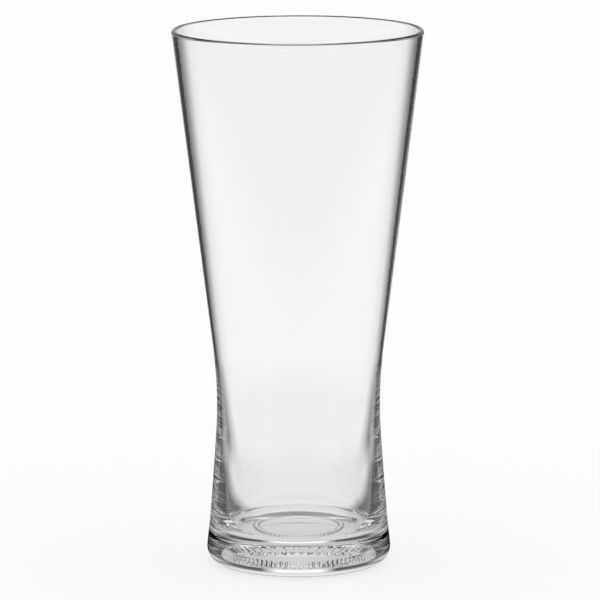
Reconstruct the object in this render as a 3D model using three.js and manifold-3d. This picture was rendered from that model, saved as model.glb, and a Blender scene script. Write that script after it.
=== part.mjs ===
// A tall plastic beer glass, moulded in one piece from clear polycarbonate.
// A wide upper taper runs down to a low waist, and the solid foot flares out below it.
// Millimetres, +Z up, origin on the axis in the plane that the foot rests on.

import * as THREE from 'three';
import { mergeVertices } from 'three/addons/utils/BufferGeometryUtils.js';
import Module from 'manifold-3d';

// Outer wall: the tapers meet at the waist and at the flare, where a curve rounds them off
const glassHeight = 171.5;
const rimDiameter = 80;
const waistDiameter = 51.2;
const waistHeight = 55.8;
const waistBlend = 12.5;
const flareDiameter = 55.1;
const flareHeight = 24.3;
const footDiameter = 58.7;
const footCorner = 5.2;

// Cavity: one taper to the waist, nearly straight below it, then a steep curve in to the flat floor
const rimWall = 1.8;
const waistWall = 1.3;
const cavityWaistHeight = 54;
const cavityBlend = 12;
const cavityTaper = 0.6;
const floorThickness = 11;
const floorRise = 8.5;
const floorReach = 2.6;

// Underside: a domed dish inside the bearing ring, with a tapered groove that short radial ribs cross
const bearingWidth = 1.75;
const dishLip = 2.4;
const dishLipHeight = 0.85;
const dishDepth = 2.3;
const grooveInset = 4.4;
const grooveWidth = 2.6;
const grooveRoofWidth = 0.8;
const grooveDepth = 1.8;
const ribPitch = 1.4;
const ribWidth = 0.6;
const ribHeight = 0.5;
const ribRoot = 0.3;

// Fineness of the faceted solid
const turnSegments = 64;
const curveSteps = 5;
const cornerSteps = 6;
const floorSteps = 10;
const weldDistance = 1e-4;

const clearPolycarbonate = new THREE.MeshStandardMaterial({
  color: 0xf2f4f4,
  roughness: 0.05,
  metalness: 0,
  transparent: true,
  opacity: 0.3,
});

const footEdge = footDiameter / 2 - footCorner;
const bearingEdge = footEdge - bearingWidth;
const dishEdge = bearingEdge - dishLip;
const grooveOuter = dishEdge - grooveInset;
const grooveInner = grooveOuter - grooveWidth;
const grooveMiddle = (grooveInner + grooveOuter) / 2;
const grooveRoof = domePoint(grooveMiddle).y + grooveDepth;

const wasm = await Module();
wasm.setup();

function point(radius, height) {
  return new THREE.Vector2(radius, height);
}

// The point of the domed dish at a given radius
function domePoint(radius) {
  const share = radius / dishEdge;
  return point(radius, dishDepth - (dishDepth - dishLipHeight) * share * share);
}

// Points of the dome between two radii
function domePoints(from, to) {
  const points = [];
  for (let i = 0; i <= curveSteps; i += 1) points.push(domePoint(from + (to - from) * i / curveSteps));
  return points;
}

// The point that lies a given distance from one point towards another, at most half way
function towards(from, to, distance) {
  const reach = Math.min(distance, from.distanceTo(to) / 2);
  return from.clone().add(to.clone().sub(from).setLength(reach));
}

// Points of a corner that is rounded off between two points by a curve tangent to both sides
function roundedCorner(start, corner, end, steps) {
  return new THREE.QuadraticBezierCurve(start, corner, end).getPoints(steps);
}

// Points of a quarter of an ellipse that turns from an upright wall into a level floor
function hollowCorner(onWall, onFloor, steps) {
  const reach = onWall.x - onFloor.x;
  const rise = onWall.y - onFloor.y;
  return new THREE.EllipseCurve(onFloor.x, onWall.y, reach, rise, 0, -Math.PI / 2, true).getPoints(steps);
}

// Points of an arc from one angle to another, both in radians
function arcPoints(centre, radius, startAngle, endAngle, steps) {
  const clockwise = endAngle < startAngle;
  const arc = new THREE.EllipseCurve(centre.x, centre.y, radius, radius, startAngle, endAngle, clockwise);
  return arc.getPoints(steps);
}

// The underside, from the axis out to the bearing ring
function undersideProfile() {
  return [
    ...domePoints(0, grooveInner),
    point(grooveMiddle - grooveRoofWidth / 2, grooveRoof),
    point(grooveMiddle + grooveRoofWidth / 2, grooveRoof),
    ...domePoints(grooveOuter, dishEdge),
    point(bearingEdge, 0),
  ];
}

// The outer wall, from the rounded corner of the foot up to the rim
function outerProfile(rim) {
  const flare = point(flareDiameter / 2, flareHeight);
  const waist = point(waistDiameter / 2, waistHeight);
  const lean = Math.atan2(footDiameter / 2 - flare.x, flare.y - footCorner);
  const cornerCentre = point(footEdge, footCorner);
  const corner = arcPoints(cornerCentre, footCorner, -Math.PI / 2, lean, cornerSteps);
  const footTop = corner.at(-1);
  const belowWaist = towards(waist, flare, waistBlend);
  const aboveWaist = towards(waist, rim, waistBlend);
  return [
    ...corner,
    ...roundedCorner(footTop, flare, belowWaist, curveSteps).slice(1),
    ...roundedCorner(belowWaist, waist, aboveWaist, curveSteps).slice(1),
    rim,
  ];
}

// The cavity, from the inside of the rim down to the middle of its floor
function cavityProfile(innerRim) {
  const waist = point(waistDiameter / 2 - waistWall, cavityWaistHeight);
  const floorEdge = point(waist.x - cavityTaper, floorThickness);
  const floorMiddle = point(0, floorThickness);
  const aboveWaist = towards(waist, innerRim, cavityBlend);
  const belowWaist = towards(waist, floorEdge, cavityBlend);
  const onWall = towards(floorEdge, waist, floorRise);
  const onFloor = towards(floorEdge, floorMiddle, floorReach);
  return [
    ...roundedCorner(aboveWaist, waist, belowWaist, curveSteps),
    ...hollowCorner(onWall, onFloor, floorSteps),
    floorMiddle,
  ];
}

// The whole closed outline: underside, outer wall, round lip and cavity
function glassOutline() {
  const lipRadius = rimWall / 2;
  const rim = point(rimDiameter / 2, glassHeight - lipRadius);
  const innerRim = point(rim.x - rimWall, rim.y);
  const lip = arcPoints(point(rim.x - lipRadius, rim.y), lipRadius, 0, Math.PI, cornerSteps);
  return [
    ...undersideProfile(),
    ...outerProfile(rim),
    ...lip.slice(1),
    ...cavityProfile(innerRim),
  ];
}

// A closed solid from a geometry whose shared corners are welded
function solidFrom(geometry) {
  const shape = geometry.clone();
  shape.deleteAttribute('normal');
  shape.deleteAttribute('uv');
  const welded = mergeVertices(shape, weldDistance);
  const corners = welded.index.array;
  const triangles = [];
  for (let i = 0; i < corners.length; i += 3) {
    const [a, b, c] = corners.slice(i, i + 3);
    if (a !== b && b !== c && c !== a) triangles.push(a, b, c);
  }
  return new wasm.Manifold(new wasm.Mesh({
    numProp: 3,
    vertProperties: new Float32Array(welded.attributes.position.array),
    triVerts: new Uint32Array(triangles),
  }));
}

function geometryFrom(solid) {
  const mesh = solid.getMesh();
  const geometry = new THREE.BufferGeometry();
  geometry.setAttribute('position', new THREE.BufferAttribute(mesh.vertProperties, 3));
  geometry.setIndex(new THREE.BufferAttribute(mesh.triVerts, 1));
  geometry.computeVertexNormals();
  return geometry;
}

// One rib across the groove, rooted in the groove's roof and both of its sloping walls
function ribGeometry(angle) {
  const wallSpread = (grooveWidth - grooveRoofWidth) * ribHeight / grooveDepth;
  const length = grooveRoofWidth + wallSpread + 2 * ribRoot;
  const rib = new THREE.BoxGeometry(length, ribWidth, ribHeight + ribRoot);
  rib.translate(grooveMiddle, 0, grooveRoof + (ribRoot - ribHeight) / 2);
  rib.rotateZ(angle);
  return rib;
}

function beerGlass() {
  const body = new THREE.LatheGeometry(glassOutline(), turnSegments);
  body.rotateX(Math.PI / 2);
  let solid = solidFrom(body);
  const ribCount = Math.round(2 * Math.PI * grooveMiddle / ribPitch);
  for (let i = 0; i < ribCount; i += 1) {
    solid = solid.add(solidFrom(ribGeometry(2 * Math.PI * i / ribCount)));
  }
  const mesh = new THREE.Mesh(geometryFrom(solid), clearPolycarbonate);
  mesh.name = 'beer_glass';
  return mesh;
}

const glass = new THREE.Group();
glass.add(beerGlass());

export default glass;
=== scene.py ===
"""A clear plastic beer glass in a plain white studio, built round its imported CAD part.

Metres, +Z up, origin on the glass's axis in the plane that its foot rests on.
"""

import math

import bmesh
import bpy
from mathutils import Matrix, Vector


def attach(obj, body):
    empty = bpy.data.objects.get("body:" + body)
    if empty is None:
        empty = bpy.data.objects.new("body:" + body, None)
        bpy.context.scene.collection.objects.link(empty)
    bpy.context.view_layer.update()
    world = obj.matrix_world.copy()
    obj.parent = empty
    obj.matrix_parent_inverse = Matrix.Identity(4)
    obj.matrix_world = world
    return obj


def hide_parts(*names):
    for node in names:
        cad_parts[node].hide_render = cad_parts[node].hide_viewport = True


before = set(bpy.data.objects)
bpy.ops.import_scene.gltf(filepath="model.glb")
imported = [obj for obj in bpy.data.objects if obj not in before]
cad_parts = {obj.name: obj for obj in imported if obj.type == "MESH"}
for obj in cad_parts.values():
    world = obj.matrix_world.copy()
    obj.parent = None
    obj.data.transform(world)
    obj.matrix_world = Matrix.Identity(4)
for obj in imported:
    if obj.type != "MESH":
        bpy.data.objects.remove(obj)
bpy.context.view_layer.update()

MM = 0.001
scene = bpy.context.scene

# Outer wall, in millimetres
GLASS_HEIGHT = 171.5
RIM_RADIUS = 40.0
WAIST_RADIUS = 25.6
WAIST_HEIGHT = 55.8
WAIST_BLEND = 12.5
FLARE_RADIUS = 27.55
FLARE_HEIGHT = 24.3
FOOT_RADIUS = 29.35
FOOT_CORNER = 5.2

# Cavity
RIM_WALL = 1.8
CAVITY_WAIST_RADIUS = 24.3
CAVITY_WAIST_HEIGHT = 54.0
CAVITY_BLEND = 12.0
FLOOR_RADIUS = 23.7
FLOOR_HEIGHT = 11.0
FLOOR_RISE = 8.5
FLOOR_REACH = 2.6

# Underside: a domed dish inside the bearing ring, with a tapered groove that short radial ribs cross
DISH_HEIGHT = 2.3
DISH_EDGE_HEIGHT = 0.85
DISH_EDGE_RADIUS = 20.0
BEARING_RADIUS = 22.4
GROOVE_INNER_RADIUS = 13.0
GROOVE_OUTER_RADIUS = 15.6
GROOVE_ROOF_WIDTH = 0.8
GROOVE_DEPTH = 1.8
RIB_HEIGHT = 0.5
RIB_COUNT = 64

# Flow ripple of the moulding: its waves across and along the wall, and their height
RIPPLE_ACROSS = 16.7
RIPPLE_ALONG = 71.4
RIPPLE_HEIGHT = 0.2

# Fineness of the mesh
STEPS_PER_RIB = 5
CURVE_STEPS = 24
FLOOR_STEPS = 48
SHARP_ANGLE = math.radians(35)
SAME_POINT = 1e-4
# A straight stretch this long gets a row near each end, so that its shading stays straight
STRAIGHT_LENGTH = 2.0
STRAIGHT_END = 0.3

# Camera, from the photograph's outlines: its place in front of the glass and its narrow view
CAMERA_PLACE = Vector((0.56, -1596.9, 357.7)) * MM
CAMERA_PITCH = math.radians(9.698)
CAMERA_ROLL = math.radians(-0.117)
CAMERA_LENS = 305.2
CAMERA_REACH = 20.0
SENSOR_WIDTH = 36.0
# Light passes many walls on its way through the base
LIGHT_BOUNCES = 32


def srgb(code):
    """A colour written as an sRGB hex code, as linear red, green, blue and alpha."""
    channels = [int(code[i:i + 2], 16) / 255 for i in (1, 3, 5)]
    linear = [c / 12.92 if c <= 0.04045 else ((c + 0.055) / 1.055) ** 2.4 for c in channels]
    return (*linear, 1.0)


def node(tree, kind, settings=None, inputs=None, links=None):
    """Adds one node: its own settings, the values of its sockets, and the sockets that feed it."""
    made = tree.nodes.new(kind)
    for name, value in (settings or {}).items():
        setattr(made, name, value)
    for name, value in (inputs or {}).items():
        made.inputs[name].default_value = value
    for name, socket in (links or {}).items():
        tree.links.new(socket, made.inputs[name])
    return made


def empty_material(name):
    material = bpy.data.materials.new(name)
    material.use_nodes = True
    material.node_tree.nodes.clear()
    return material, material.node_tree


def towards(start, end, distance):
    """The point a given distance from one point towards another."""
    length = math.dist(start, end)
    return tuple(a + (b - a) * distance / length for a, b in zip(start, end))


def rounded_corner(start, corner, end, steps):
    """Points of a corner rounded off by a curve that is tangent to both of its sides."""
    points = []
    for i in range(steps + 1):
        t = i / steps
        weights = ((1 - t) ** 2, 2 * t * (1 - t), t * t)
        points.append(tuple(sum(w * p[k] for w, p in zip(weights, (start, corner, end))) for k in (0, 1)))
    return points


def arc(centre, reach, rise, start, end, steps):
    """Points of an arc between two angles in radians, on a circle or an upright ellipse."""
    angles = [start + (end - start) * i / steps for i in range(steps + 1)]
    return [(centre[0] + reach * math.cos(a), centre[1] + rise * math.sin(a)) for a in angles]


def dish_height(radius):
    """Height of the domed underside at a given radius."""
    return DISH_HEIGHT + (DISH_EDGE_HEIGHT - DISH_HEIGHT) * (radius / DISH_EDGE_RADIUS) ** 2


def dish_rows(start, end):
    radii = [start + (end - start) * i / CURVE_STEPS for i in range(CURVE_STEPS + 1)]
    return [(radius, dish_height(radius), 0.0) for radius in radii]


def underside_outline():
    """Rows of the underside from the axis outwards: radius, height, and how far the ribs drop the row."""
    middle = (GROOVE_INNER_RADIUS + GROOVE_OUTER_RADIUS) / 2
    roof = dish_height(middle) + GROOVE_DEPTH
    return [
        *dish_rows(0.0, GROOVE_INNER_RADIUS),
        (middle - GROOVE_ROOF_WIDTH / 2, roof, RIB_HEIGHT),
        (middle + GROOVE_ROOF_WIDTH / 2, roof, RIB_HEIGHT),
        *dish_rows(GROOVE_OUTER_RADIUS, DISH_EDGE_RADIUS),
        (BEARING_RADIUS, 0.0, 0.0),
        (BEARING_RADIUS + STRAIGHT_END, 0.0, 0.0),
        (FOOT_RADIUS - FOOT_CORNER - STRAIGHT_END, 0.0, 0.0),
    ]


def wall_outline():
    """Points of the outer wall, the lip and the cavity, from the foot to the middle of the cavity floor."""
    lip = RIM_WALL / 2
    rim = (RIM_RADIUS, GLASS_HEIGHT - lip)
    inner_rim = (RIM_RADIUS - RIM_WALL, rim[1])
    flare = (FLARE_RADIUS, FLARE_HEIGHT)
    waist = (WAIST_RADIUS, WAIST_HEIGHT)
    lean = math.atan2(FOOT_RADIUS - FLARE_RADIUS, FLARE_HEIGHT - FOOT_CORNER)
    corner_centre = (FOOT_RADIUS - FOOT_CORNER, FOOT_CORNER)
    corner = arc(corner_centre, FOOT_CORNER, FOOT_CORNER, -math.pi / 2, lean, CURVE_STEPS)
    below_waist = towards(waist, flare, WAIST_BLEND)
    above_waist = towards(waist, rim, WAIST_BLEND)
    cavity_waist = (CAVITY_WAIST_RADIUS, CAVITY_WAIST_HEIGHT)
    floor_edge = (FLOOR_RADIUS, FLOOR_HEIGHT)
    middle = (0.0, FLOOR_HEIGHT)
    cavity_above = towards(cavity_waist, inner_rim, CAVITY_BLEND)
    cavity_below = towards(cavity_waist, floor_edge, CAVITY_BLEND)
    on_wall = towards(floor_edge, cavity_waist, FLOOR_RISE)
    on_floor = towards(floor_edge, middle, FLOOR_REACH)
    bend_centre = (on_floor[0], on_wall[1])
    bend_reach = on_wall[0] - on_floor[0]
    bend_rise = on_wall[1] - on_floor[1]
    pieces = [
        corner,
        rounded_corner(corner[-1], flare, below_waist, CURVE_STEPS),
        rounded_corner(below_waist, waist, above_waist, CURVE_STEPS),
        arc((RIM_RADIUS - lip, rim[1]), lip, lip, 0, math.pi, CURVE_STEPS),
        rounded_corner(cavity_above, cavity_waist, cavity_below, CURVE_STEPS),
        arc(bend_centre, bend_reach, bend_rise, 0, -math.pi / 2, FLOOR_STEPS),
        [middle],
    ]
    outline = [pieces[0][0]]
    for piece in pieces:
        for point in piece:
            length = math.dist(outline[-1], point)
            if length > STRAIGHT_LENGTH:
                outline.append(towards(outline[-1], point, STRAIGHT_END))
                outline.append(towards(point, outline[-2], STRAIGHT_END))
            if length > SAME_POINT:
                outline.append(point)
    return outline


def turned_mesh(name, rows):
    """A closed solid of revolution. Each row is a radius, a height and how far the ribs drop the row."""
    segments = RIB_COUNT * STEPS_PER_RIB
    rings = []
    vertices = []
    faces = []
    for radius, height, rib in rows:
        if radius == 0:
            rings.append([len(vertices)])
            vertices.append((0, 0, height * MM))
            continue
        rings.append(range(len(vertices), len(vertices) + segments))
        for k in range(segments):
            on_rib = k % STEPS_PER_RIB < STEPS_PER_RIB / 2
            angle = 2 * math.pi * k / segments
            place = Vector((radius * math.cos(angle), radius * math.sin(angle), height))
            if on_rib:
                place.z -= rib
            vertices.append(place * MM)
    for low, high in zip(rings, rings[1:]):
        for k in range(segments):
            n = (k + 1) % segments
            if len(low) == 1:
                faces.append((low[0], high[n], high[k]))
            elif len(high) == 1:
                faces.append((low[k], low[n], high[0]))
            else:
                faces.append((low[k], low[n], high[n], high[k]))
    mesh = bpy.data.meshes.new(name)
    mesh.from_pydata(vertices, [], faces)
    mesh.polygons.foreach_set("use_smooth", [True] * len(faces))
    mesh.set_sharp_from_angle(angle=SHARP_ANGLE)
    return mesh


def clear_polycarbonate():
    """Injection-moulded clear polycarbonate: a bright, hard plastic with a strong edge line and no colour.

    Faint flow ripple from the mould bends reflections a little, which cut glass would not show.
    """
    material, tree = empty_material("polycarbonate_clear_moulded")
    place = node(tree, "ShaderNodeTexCoord")
    across = 1 / (RIPPLE_ACROSS * MM)
    along = 1 / (RIPPLE_ALONG * MM)
    stretch = node(tree, "ShaderNodeMapping", inputs={"Scale": (across, across, along)},
                   links={"Vector": place.outputs["Object"]})
    ripple = node(tree, "ShaderNodeTexNoise", inputs={"Scale": 1.0, "Detail": 2.0, "Roughness": 0.4},
                  links={"Vector": stretch.outputs["Vector"]})
    bump = node(tree, "ShaderNodeBump", inputs={"Strength": 0.02, "Distance": RIPPLE_HEIGHT * MM},
                links={"Height": ripple.outputs["Fac"]})
    surface = node(tree, "ShaderNodeBsdfPrincipled",
                   inputs={"Base Color": srgb("#FEFEFE"), "IOR": 1.585, "Roughness": 0.0,
                           "Transmission Weight": 1.0, "Metallic": 0.0},
                   links={"Normal": bump.outputs["Normal"]})
    node(tree, "ShaderNodeOutputMaterial", links={"Surface": surface.outputs["BSDF"]})
    return material


def build_glass():
    rows = underside_outline() + [(r, z, 0.0) for r, z in wall_outline()]
    mesh = turned_mesh("beer_glass_body", rows)
    mesh.materials.append(clear_polycarbonate())
    glass = bpy.data.objects.new("beer_glass_body", mesh)
    scene.collection.objects.link(glass)
    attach(glass, "root")
    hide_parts("beer_glass")


def build_camera():
    data = bpy.data.cameras.new("photo_camera")
    data.lens = CAMERA_LENS
    data.sensor_width = SENSOR_WIDTH
    data.clip_end = CAMERA_REACH
    camera = bpy.data.objects.new("photo_camera", data)
    scene.collection.objects.link(camera)
    camera.location = CAMERA_PLACE
    turn = Matrix.Rotation(math.pi / 2 - CAMERA_PITCH, 4, "X") @ Matrix.Rotation(CAMERA_ROLL, 4, "Z")
    camera.rotation_mode = "QUATERNION"
    camera.rotation_quaternion = turn.to_quaternion()
    scene.camera = camera


# The studio round the glass, seen only in the glass and painted as glow where 1 is white: a panel behind
# the glass, a dark card on each side of it, pale walls all round, a dim room above and a painted soft lamp
# overhead, in front of the glass.
PANEL = 1.0
PANEL_SIDE = 1.05
LOW_PANEL = 0.9
PANEL_TOP = 0.65
PANEL_TOP_SIDE = 0.45
CARD = 0.05
WALL = 0.7
ROOM = 0.05
# Painted glow of the soft lamp overhead, seen only in the glass
PAINTED_LAMP_GLOW = 1.0
UNDER_SIDE = 0.25
# Each height of the studio, as levels at bearings in degrees from straight behind the glass
MID_LEVELS = ((0, PANEL), (10, PANEL_SIDE), (18, CARD), (38, CARD), (60, WALL), (180, WALL))
LOW_LEVELS = ((0, LOW_PANEL), (9, PANEL), (17, 0.0), (25, 0.0), (50, WALL), (180, WALL))
UNDER_LEVELS = ((0, 0.0), (20, 0.0), (60, UNDER_SIDE), (180, UNDER_SIDE))
HIGH_LEVELS = ((0, PANEL_TOP), (38, PANEL_TOP_SIDE), (50, ROOM), (180, ROOM))
TOP_LEVELS = ((0, 0.0), (120, PAINTED_LAMP_GLOW), (180, PAINTED_LAMP_GLOW))
# Where one height of the studio gives way to the next, in degrees above the table
UNDER_BLEND = (-27, -20)
LOW_BLEND = (-13, -6)
HIGH_BLEND = (7, 12)
TOP_BLEND = (30, 45)
SURROUND_RADIUS = 1.1
SURROUND_SEGMENTS = 48
# The sheet of white paper under and behind the glass, which glows with painted light and shade: bright
# behind, a painted shadow of the cards beside it
PAPER = 0.86
# Painted shadow of the cards on the paper beside the glass
PAINTED_CARD_SHADOW = 0.02
PAPER_FRONT = 0.7
PAPER_LEVELS = ((0, PAPER), (30, PAPER), (42, PAINTED_CARD_SHADOW), (90, PAINTED_CARD_SHADOW), (115, PAPER_FRONT),
                (180, PAPER_FRONT))
# Painted shade on the paper under the glass's foot, and the reach in millimetres over which it gives way to
# the levels above
PAINTED_FOOT_SHADE = 0.68
PAINTED_FOOT_SHADE_EDGE = (24, 40)
PAPER_EDGE = (85, 125)
PAPER_DROP = 0.1
# The board that the camera sees as the floor, in metres, and how much of its white is its own glow
BOARD_REACH = 6.0
BOARD_DROP = 0.2
BOARD_GLOW = 0.75


def grey(level):
    return (level, level, level, 1.0)


def level_ramp(tree, levels, bearing):
    """A ramp from the bearing, as a share of half a turn, to the level of the surround."""
    made = node(tree, "ShaderNodeValToRGB", links={"Fac": bearing})
    ramp = made.color_ramp
    while len(ramp.elements) < len(levels):
        ramp.elements.new(1.0)
    for stop, (angle, level) in zip(ramp.elements, levels):
        stop.position = angle / 180
        stop.color = grey(level)
    return made.outputs["Color"]


def place_and_bearing(tree):
    """A place on the object, its height, and its bearing from straight behind as a share of half a turn."""
    place = node(tree, "ShaderNodeTexCoord").outputs["Object"]
    parts = node(tree, "ShaderNodeSeparateXYZ", links={"Vector": place})
    turn = node(tree, "ShaderNodeMath", {"operation": "ARCTAN2"},
                links={0: parts.outputs["X"], 1: parts.outputs["Y"]})
    size = node(tree, "ShaderNodeMath", {"operation": "ABSOLUTE"}, links={0: turn.outputs["Value"]})
    bearing = node(tree, "ShaderNodeMath", {"operation": "DIVIDE"}, {1: math.pi},
                   {0: size.outputs["Value"]})
    return place, parts.outputs["Z"], bearing.outputs["Value"]


def smooth_step(tree, value, start, end):
    """A soft step from 0 to 1 while a value goes from start to end."""
    made = node(tree, "ShaderNodeMapRange", {"interpolation_type": "SMOOTHSTEP"},
                {"From Min": start, "From Max": end}, {"Value": value})
    return made.outputs["Result"]


def surround_material():
    """Matt studio cloth and card that glow instead of being lit, seen only in the glass: painted light and
    shade, softly graded.
    """
    material, tree = empty_material("studio_surround")
    _, height, bearing = place_and_bearing(tree)
    heights = (
        (UNDER_BLEND, LOW_LEVELS),
        (LOW_BLEND, MID_LEVELS),
        (HIGH_BLEND, HIGH_LEVELS),
        (TOP_BLEND, TOP_LEVELS),
    )
    below = level_ramp(tree, UNDER_LEVELS, bearing)
    for blend, levels in heights:
        share = smooth_step(tree, height, *(math.sin(math.radians(angle)) for angle in blend))
        above = level_ramp(tree, levels, bearing)
        mix = node(tree, "ShaderNodeMixRGB", links={"Fac": share, "Color1": below, "Color2": above})
        below = mix.outputs["Color"]
    light = node(tree, "ShaderNodeEmission", inputs={"Strength": 1.0}, links={"Color": below})
    node(tree, "ShaderNodeOutputMaterial", links={"Surface": light.outputs["Emission"]})
    return material


def paper_material():
    """White paper that glows with painted light and shade: bright behind the glass, a painted shadow of the
    cards beside it, painted shade under the foot, and fading at its edge.
    """
    material, tree = empty_material("white_paper_sheet")
    place, _, bearing = place_and_bearing(tree)
    reach = node(tree, "ShaderNodeVectorMath", {"operation": "LENGTH"}, links={0: place}).outputs["Value"]
    past_foot_shade = smooth_step(tree, reach, *(edge * MM for edge in PAINTED_FOOT_SHADE_EDGE))
    gone = smooth_step(tree, reach, *(edge * MM for edge in PAPER_EDGE))
    level = node(tree, "ShaderNodeMixRGB", inputs={"Color1": grey(PAINTED_FOOT_SHADE)},
                 links={"Fac": past_foot_shade, "Color2": level_ramp(tree, PAPER_LEVELS, bearing)})
    light = node(tree, "ShaderNodeEmission", inputs={"Strength": 1.0},
                 links={"Color": level.outputs["Color"]})
    clear = node(tree, "ShaderNodeBsdfTransparent")
    mix = node(tree, "ShaderNodeMixShader",
               links={"Fac": gone, 1: light.outputs["Emission"], 2: clear.outputs["BSDF"]})
    node(tree, "ShaderNodeOutputMaterial", links={"Surface": mix.outputs["Shader"]})
    return material


def seen_in_the_glass_only(piece):
    piece.visible_camera = False
    piece.visible_diffuse = False
    piece.visible_shadow = False


def level_square(name, reach, drop, material):
    """A level square round the axis, a little below the plane that the foot rests on."""
    mesh = bpy.data.meshes.new(name)
    corners = [(-reach, -reach, 0), (reach, -reach, 0), (reach, reach, 0), (-reach, reach, 0)]
    mesh.from_pydata(corners, [], [(0, 1, 2, 3)])
    mesh.materials.append(material)
    square = bpy.data.objects.new(name, mesh)
    scene.collection.objects.link(square)
    square.location.z = -drop * MM
    return square


def build_paper():
    paper = level_square("white_paper", PAPER_EDGE[1] * MM, PAPER_DROP, paper_material())
    seen_in_the_glass_only(paper)


def build_studio():
    shape = bmesh.new()
    rows = SURROUND_SEGMENTS // 2
    bmesh.ops.create_uvsphere(shape, u_segments=SURROUND_SEGMENTS, v_segments=rows, radius=1.0)
    mesh = bpy.data.meshes.new("studio_surround")
    shape.to_mesh(mesh)
    shape.free()
    mesh.materials.append(surround_material())
    surround = bpy.data.objects.new("studio_surround", mesh)
    scene.collection.objects.link(surround)
    surround.scale = (SURROUND_RADIUS, SURROUND_RADIUS, SURROUND_RADIUS)
    seen_in_the_glass_only(surround)


def build_world():
    world = bpy.data.worlds.new("white_studio")
    scene.world = world
    world.use_nodes = True
    tree = world.node_tree
    tree.nodes.clear()
    back = node(tree, "ShaderNodeBackground", inputs={"Color": srgb("#FFFFFF"), "Strength": 1.0})
    node(tree, "ShaderNodeOutputWorld", links={"Surface": back.outputs["Background"]})


def board_material():
    """Matt white board, bright enough to melt into the ground, with a trace of the glass's soft shadow."""
    material, tree = empty_material("matt_white_board")
    paint = node(tree, "ShaderNodeBsdfDiffuse", inputs={"Color": srgb("#F6F6F6")})
    glow = node(tree, "ShaderNodeEmission", inputs={"Color": srgb("#FFFFFF"), "Strength": 1.0})
    mix = node(tree, "ShaderNodeMixShader", inputs={"Fac": BOARD_GLOW},
               links={1: paint.outputs["BSDF"], 2: glow.outputs["Emission"]})
    node(tree, "ShaderNodeOutputMaterial", links={"Surface": mix.outputs["Shader"]})
    return material


def build_floor():
    """The board is kept out of the glass, where the paper takes its place."""
    floor = level_square("pale_floor", BOARD_REACH, BOARD_DROP, board_material())
    floor.visible_transmission = False
    floor.visible_glossy = False


build_glass()
build_camera()
build_studio()
build_paper()
build_world()
build_floor()

scene.view_settings.view_transform = "Standard"
scene.cycles.max_bounces = LIGHT_BOUNCES
scene.cycles.transmission_bounces = LIGHT_BOUNCES
scene.cycles.glossy_bounces = LIGHT_BOUNCES
